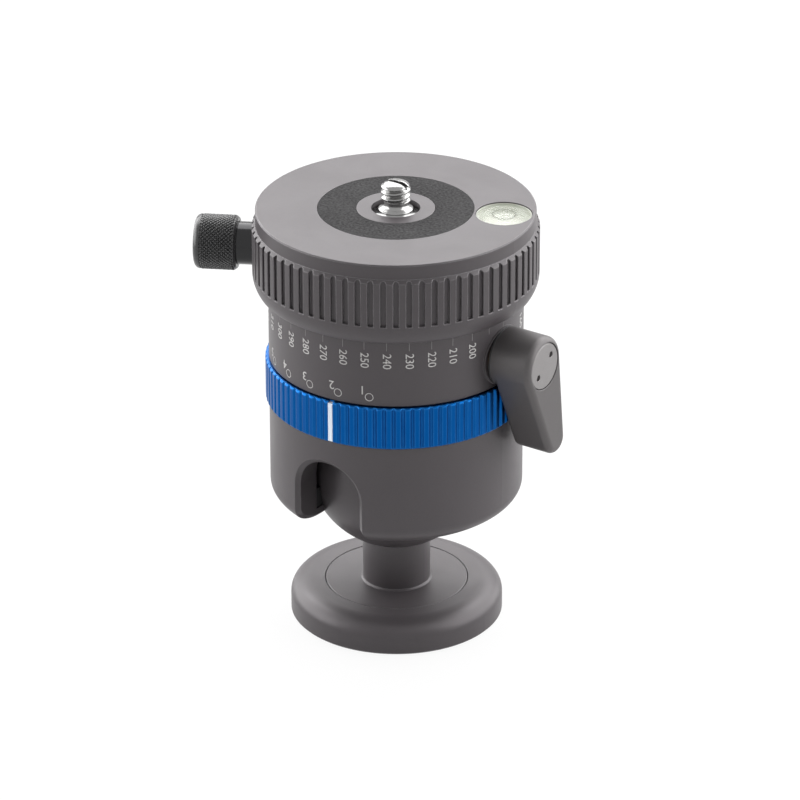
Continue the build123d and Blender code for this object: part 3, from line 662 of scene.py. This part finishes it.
class BALLHEAD_OT_knob_grip(bpy.types.Operator):
    """Turn and knurl the grip of the pan knob"""

    bl_idname = "ballhead.knob_grip"
    bl_label = "Knob Grip"

    def execute(self, context):
        sizes = context.scene.ball_head_sizes
        radius = GRIP_RADIUS - sizes.knurl_depth
        band = GRIP_LENGTH - GRIP_INSET - GRIP_ROUNDING
        band_end = GRIP_INSET + band
        deselect_all()
        bpy.ops.mesh.primitive_cylinder_add(vertices=sizes.knurl_count, radius=radius, depth=band,
                                            location=(0, 0, GRIP_INSET + band / 2))
        grip = bpy.context.object
        bpy.ops.object.transform_apply(location=True, rotation=True, scale=True)
        edit(grip)
        pick(grip, "EDGE", lambda edge: abs(edge.verts[0].co.z - edge.verts[1].co.z) > band / 2)
        bpy.ops.mesh.subdivide(number_cuts=sizes.knurl_rows - 1)
        pick(grip, "FACE", lambda face: abs(face.normal.z) < 0.5)
        bpy.ops.mesh.poke(offset=0.0)
        row = band / sizes.knurl_rows

        def on_row(vert):
            rows = (vert.co.z - GRIP_INSET) / row
            return abs(rows - round(rows)) < 0.1

        def at_end(vert):
            return not GRIP_INSET + 0.1 * row < vert.co.z < band_end - 0.1 * row

        pick(grip, "EDGE",
             lambda edge: all(map(on_row, edge.verts)) and not all(map(at_end, edge.verts)))
        bpy.ops.mesh.dissolve_edges(use_verts=False)
        pick(grip, "FACE", lambda face: abs(face.normal.z) < 0.5 and len(face.verts) == 4)
        bpy.ops.mesh.inset(thickness=DIAMOND_LAND, depth=sizes.knurl_depth, use_individual=True)
        pick(grip, "FACE", lambda face: face.normal.z > 0.9 and len(face.verts) > 20)
        turns = [math.pi / 2 * i / ROUNDING_STEPS for i in range(1, ROUNDING_STEPS + 1)]
        draw_out((radius, band_end), [
            (GRIP_RADIUS - 0.06, band_end + 0.02),
            *((GRIP_RADIUS - GRIP_ROUNDING * (1 - math.cos(turn)),
               GRIP_LENGTH - GRIP_ROUNDING + GRIP_ROUNDING * math.sin(turn)) for turn in turns),
            (2.6, GRIP_LENGTH), (2.45, GRIP_LENGTH - 0.35), (1.2, GRIP_LENGTH - 0.45),
        ])
        pick(grip, "FACE", lambda face: face.normal.z < -0.9 and len(face.verts) > 20)
        draw_out((radius, GRIP_INSET), [
            (GRIP_RADIUS - 0.1, GRIP_INSET - 0.02), (GRIP_RADIUS - GRIP_INSET, 0.0),
            (SHAFT_HOLE_RADIUS, 0.0), (SHAFT_HOLE_RADIUS, SHAFT_HOLE_DEPTH),
        ])
        bpy.ops.object.mode_set(mode="OBJECT")
        joint = joints["knob_turn"]
        axis = Vector(joint["axis"]).normalized()
        placed(grip, "knurled_grip", pointing(axis, Vector(joint["pos_m"]) / MM))
        dressed(grip, "pan_knob", materials["knurl"], 30.0, ("pan_knob_grip",))
        return {"FINISHED"}


# ---- Round level -------------------------------------------------------------------------------

CUP_CLEARANCE = 0.02
BRIM_HEIGHT, BRIM_WIDTH = 0.22, 0.24
RING_HALF_WIDTH = 0.08


class BALLHEAD_OT_level(bpy.types.Operator):
    """Build the body, window, ring and bubble of the round level"""

    bl_idname = "ballhead.level"
    bl_label = "Round Level"

    def execute(self, context):
        sizes = context.scene.ball_head_sizes
        low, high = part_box("level_vial")
        middle = (low + high) / 2 / MM
        base = Matrix.Translation((middle.x, middle.y, 0))
        foot, vial_top, radius = low.z / MM, high.z / MM, (high.x - low.x) / 2 / MM
        floor = vial_top - sizes.level_depth
        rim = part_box("level_cup")[1].z / MM + CUP_CLEARANCE
        face, brim, pane = rim + BRIM_HEIGHT, radius + BRIM_WIDTH, radius - 0.05
        body = turned(((0, foot), (radius, foot), (radius, vial_top), (radius, rim), (brim, rim),
                       (brim, face - 0.06), (brim - 0.06, face), (pane + 0.04, face),
                       (pane, face - 0.06), (pane - 0.04, face - 0.45), (4.75, floor + 0.35),
                       (4.62, floor + 0.1), (4.4, floor), (0, floor)), 72)
        placed(body, "level_body", base)
        dressed(body, "camera_platform", materials["level_body"], 40.0, ("level_vial",))
        glass = pane - 0.03
        window = turned(((0, face - 0.28), (glass - 0.04, face - 0.28), (glass, face - 0.24),
                         (glass, face - 0.10), (glass - 0.06, face - 0.05),
                         (glass * 0.75, face - 0.02), (glass * 0.5, face + 0.01),
                         (glass * 0.25, face + 0.03), (0, face + 0.04)), 72)
        placed(window, "level_window", base)
        dressed(window, "camera_platform", materials["window"], 40.0)
        size = sizes.level_ring - 0.3
        bubble = turned(((0, face - 0.85), (size * 0.5, face - 0.80), (size * 0.85, face - 0.65),
                         (size, face - 0.50), (size * 0.96, face - 0.38), (size * 0.8, face - 0.31),
                         (0, face - 0.30)), 56)
        placed(bubble, "level_bubble", base)
        dressed(bubble, "camera_platform", materials["bubble"], 40.0)
        inner, outer = sizes.level_ring - RING_HALF_WIDTH, sizes.level_ring + RING_HALF_WIDTH
        bottom, top = face + 0.01, face + 0.01 + 0.05
        ring = turned(((inner, bottom), (outer, bottom), (outer, top), (inner, top),
                       (inner, bottom)), 72)
        placed(ring, "level_ring", base)
        dressed(ring, "camera_platform", materials["level_ring"], 40.0)
        return {"FINISHED"}


# ---- Scales ------------------------------------------------------------------------------------

LETTER_SHARE = 0.69  # a numeral's height against the size of its type


def lettering(text, height, ink, width=1.0):
    """A line of text as a thin mesh, centred, with its height and its share of the plain width."""
    deselect_all()
    bpy.ops.object.text_add()
    piece = bpy.context.object
    piece.data.body = text
    piece.data.align_x, piece.data.align_y = "CENTER", "CENTER"
    piece.data.size = height / LETTER_SHARE
    piece.data.space_character = 0.98
    piece.data.extrude = ink
    piece.data.resolution_u = 3
    bpy.ops.object.convert(target="MESH")
    piece = bpy.context.object
    piece.scale = (width, 1, 1)
    bpy.ops.object.transform_apply(location=True, rotation=True, scale=True)
    return piece


WALL_RADIUS = 27.65
NUMBER_MIDDLE, TICK_MIDDLE = 73.0, 76.45
TICK_LENGTH, TICK_WIDTH = 2.0, 0.11
DEGREES = range(0, 360, 10)
BEHIND_LEVER = (170, 180, 190)


class BALLHEAD_OT_scale_numbers(bpy.types.Operator):
    """Print the degree scale round the collar"""

    bl_idname = "ballhead.scale_numbers"
    bl_label = "Scale Numbers"

    def execute(self, context):
        sizes = context.scene.ball_head_sizes
        numbers = []
        for label in DEGREES:
            if label in BEHIND_LEVER:
                continue
            number = lettering(str(label), sizes.number_height, sizes.ink, sizes.number_width)
            number.matrix_world = on_wall(180 - label, WALL_RADIUS, NUMBER_MIDDLE, "down")
            bpy.ops.object.transform_apply(location=True, rotation=True, scale=True)
            numbers.append(number)
        scale = placed(joined(numbers), "scale_numbers", Matrix.Identity(4))
        dressed(scale, "housing", materials["marks"], 20.0)
        deselect_all()
        bpy.ops.mesh.primitive_plane_add(size=1.0)
        first = bpy.context.object
        bpy.ops.transform.resize(value=(TICK_LENGTH, TICK_WIDTH, 1))
        bpy.ops.object.transform_apply(location=True, rotation=True, scale=True)
        edit(first)
        bpy.ops.mesh.select_all(action="SELECT")
        bpy.ops.mesh.extrude_region_move(TRANSFORM_OT_translate={"value": (0, 0, sizes.ink)})
        bpy.ops.object.mode_set(mode="OBJECT")
        ticks = [copied(first, on_wall(180 - label, WALL_RADIUS, TICK_MIDDLE, "down"))
                 for label in DEGREES]
        bpy.data.objects.remove(first)
        ticks = placed(joined(ticks), "scale_ticks", Matrix.Identity(4))
        dressed(ticks, "housing", materials["ticks"], 20.0)
        return {"FINISHED"}


FRICTION_MARKS = ((-67.8, "1"), (-82.5, "2"), (-97.7, "3"), (-112.3, "4"), (-126.9, "5"))
CIRCLE_RADIUS, CIRCLE_LINE = 0.93, 0.15
CIRCLE_MIDDLE, MARK_MIDDLE, MARK_ASIDE = 64.4, 66.0, 1.5


class BALLHEAD_OT_friction_marks(bpy.types.Operator):
    """Print the circles and numbers of the friction scale"""

    bl_idname = "ballhead.friction_marks"
    bl_label = "Friction Marks"

    def execute(self, context):
        sizes = context.scene.ball_head_sizes
        deselect_all()
        bpy.ops.mesh.primitive_circle_add(vertices=40, radius=CIRCLE_RADIUS, fill_type="NGON")
        first = bpy.context.object
        edit(first)
        pick(first, "FACE", lambda face: True)
        bpy.ops.mesh.inset(thickness=CIRCLE_LINE, depth=0)
        bpy.ops.mesh.delete(type="FACE")
        bpy.ops.mesh.select_all(action="SELECT")
        bpy.ops.mesh.extrude_region_move(TRANSFORM_OT_translate={"value": (0, 0, sizes.ink)})
        bpy.ops.object.mode_set(mode="OBJECT")
        marks = []
        for azimuth, label in FRICTION_MARKS:
            marks.append(copied(first, on_wall(azimuth, WALL_RADIUS, CIRCLE_MIDDLE, "over")))
            aside = azimuth - math.degrees(MARK_ASIDE / WALL_RADIUS)
            number = lettering(label, sizes.mark_height, sizes.ink)
            number.matrix_world = on_wall(aside, WALL_RADIUS, MARK_MIDDLE, "over")
            marks.append(number)
        bpy.data.objects.remove(first)
        for mark in marks:
            only(mark)
            bpy.ops.object.transform_apply(location=True, rotation=True, scale=True)
        marks = placed(joined(marks), "friction_marks", Matrix.Identity(4))
        dressed(marks, "housing", materials["marks"], 20.0)
        return {"FINISHED"}


# ---- Stage -------------------------------------------------------------------------------------

FLOOR_SIZE, FLOOR_HEIGHT = 8.0, -0.00005
FLOOR_GLOW = 0.9  # share of white that the floor shows to the camera and to reflections
AMBIENT = 0.17  # strength of the world's light on the object, against 1 for what is seen of it
HEAD_MIDDLE = Vector((0, 0, 0.05))
# name, (azimuth, elevation, distance in metres), (width, height) in metres, radiance
SOFT_BOXES = (
    ("Back Top", (124.0, 50.0, 1.05), (1.5, 1.0), 4.2),
    ("Left Side", (-164.0, 12.0, 0.65), (1.1, 0.8), 3.9),
    ("Right Side", (44.0, 18.0, 0.65), (1.1, 1.0), 3.7),
)


def towards(azimuth, elevation):
    """Unit vector from the head's middle, with angles in radians from +X and the horizon."""
    return Vector((math.cos(elevation) * math.cos(azimuth),
                   math.cos(elevation) * math.sin(azimuth), math.sin(elevation)))


class BALLHEAD_OT_stage(bpy.types.Operator):
    """Set up the floor, the lights and the camera"""

    bl_idname = "ballhead.stage"
    bl_label = "Stage"

    def execute(self, context):
        stage = context.scene.ball_head_stage
        deselect_all()
        bpy.ops.mesh.primitive_plane_add(size=FLOOR_SIZE, location=(0, 0, FLOOR_HEIGHT))
        floor = bpy.context.object
        floor.name = "floor"
        material, graph, output = blank("Pale Floor")
        diffuse = graph.add("ShaderNodeBsdfDiffuse", {"Color": rgba(stage.floor)}).outputs[0]
        glow = graph.add("ShaderNodeEmission", {"Color": (1, 1, 1, 1), "Strength": 1.0}).outputs[0]
        glowing = graph.math("MULTIPLY", graph.seen(), FLOOR_GLOW)
        mixed = graph.add("ShaderNodeMixShader", {0: glowing, 1: diffuse, 2: glow}).outputs[0]
        below = graph.add("ShaderNodeNewGeometry").outputs["Backfacing"]
        clear = graph.add("ShaderNodeBsdfTransparent").outputs[0]
        one_sided = graph.add("ShaderNodeMixShader", {0: below, 1: mixed, 2: clear})
        graph.tree.links.new(one_sided.outputs[0], output.inputs["Surface"])
        floor.data.materials.append(material)

        world = context.scene.world or bpy.data.worlds.new("Studio")
        context.scene.world = world
        world.use_nodes = True
        world.node_tree.nodes.clear()
        graph = Graph(world.node_tree)
        strength = graph.ramp(graph.seen(), 0, 1, AMBIENT, 1.0)
        sky = graph.add("ShaderNodeBackground", {"Color": (1, 1, 1, 1), "Strength": strength})
        graph.tree.links.new(sky.outputs[0], graph.add("ShaderNodeOutputWorld").inputs["Surface"])

        for name, (azimuth, elevation, distance), (width, height), radiance in SOFT_BOXES:
            back = towards(math.radians(azimuth), math.radians(elevation))
            deselect_all()
            bpy.ops.object.light_add(type="AREA", location=HEAD_MIDDLE + back * distance)
            lamp = bpy.context.object
            lamp.name = name
            lamp.rotation_euler = back.to_track_quat("Z", "Y").to_euler()
            lamp.data.shape = "RECTANGLE"
            lamp.data.size, lamp.data.size_y = width, height
            lamp.data.energy = math.pi * width * height * radiance
            lamp.visible_camera = False

        back = towards(stage.azimuth, stage.elevation)
        deselect_all()
        bpy.ops.object.camera_add(location=HEAD_MIDDLE + back * stage.distance)
        camera = bpy.context.object
        camera.rotation_mode = "QUATERNION"
        upright = (-back).to_track_quat("-Z", "Y")
        camera.rotation_quaternion = upright @ Quaternion((0, 0, 1), stage.roll)
        camera.data.lens = stage.lens
        camera.data.sensor_width = 36.0
        camera.data.shift_x, camera.data.shift_y = 0.0047, 0.0029
        context.scene.camera = camera
        context.scene.view_settings.view_transform = "Standard"
        return {"FINISHED"}


# ---- Add-on ------------------------------------------------------------------------------------

STEPS = (
    BALLHEAD_OT_finishes, BALLHEAD_OT_camera_screw, BALLHEAD_OT_knob_grip, BALLHEAD_OT_level,
    BALLHEAD_OT_scale_numbers, BALLHEAD_OT_friction_marks, BALLHEAD_OT_stage,
)


class BALLHEAD_PT_pieces(bpy.types.Panel):
    """Pieces of the ball head"""

    bl_idname = "BALLHEAD_PT_pieces"
    bl_label = "Ball Head"
    bl_space_type = "VIEW_3D"
    bl_region_type = "UI"
    bl_category = "Ball Head"

    def draw(self, context):
        column = self.layout.column(align=True)
        for step in STEPS:
            column.operator(step.bl_idname)


CLASSES = (BallHeadColours, BallHeadSizes, BallHeadStage, *STEPS, BALLHEAD_PT_pieces)


def register():
    for item in CLASSES:
        bpy.utils.register_class(item)
    bpy.types.Scene.ball_head_colours = PointerProperty(type=BallHeadColours)
    bpy.types.Scene.ball_head_sizes = PointerProperty(type=BallHeadSizes)
    bpy.types.Scene.ball_head_stage = PointerProperty(type=BallHeadStage)


def unregister():
    del bpy.types.Scene.ball_head_stage
    del bpy.types.Scene.ball_head_sizes
    del bpy.types.Scene.ball_head_colours
    for item in reversed(CLASSES):
        bpy.utils.unregister_class(item)


def main():
    register()
    for step in STEPS:
        family, name = step.bl_idname.split(".")
        getattr(getattr(bpy.ops, family), name)()
    deselect_all()


if __name__ == "__main__":
    main()
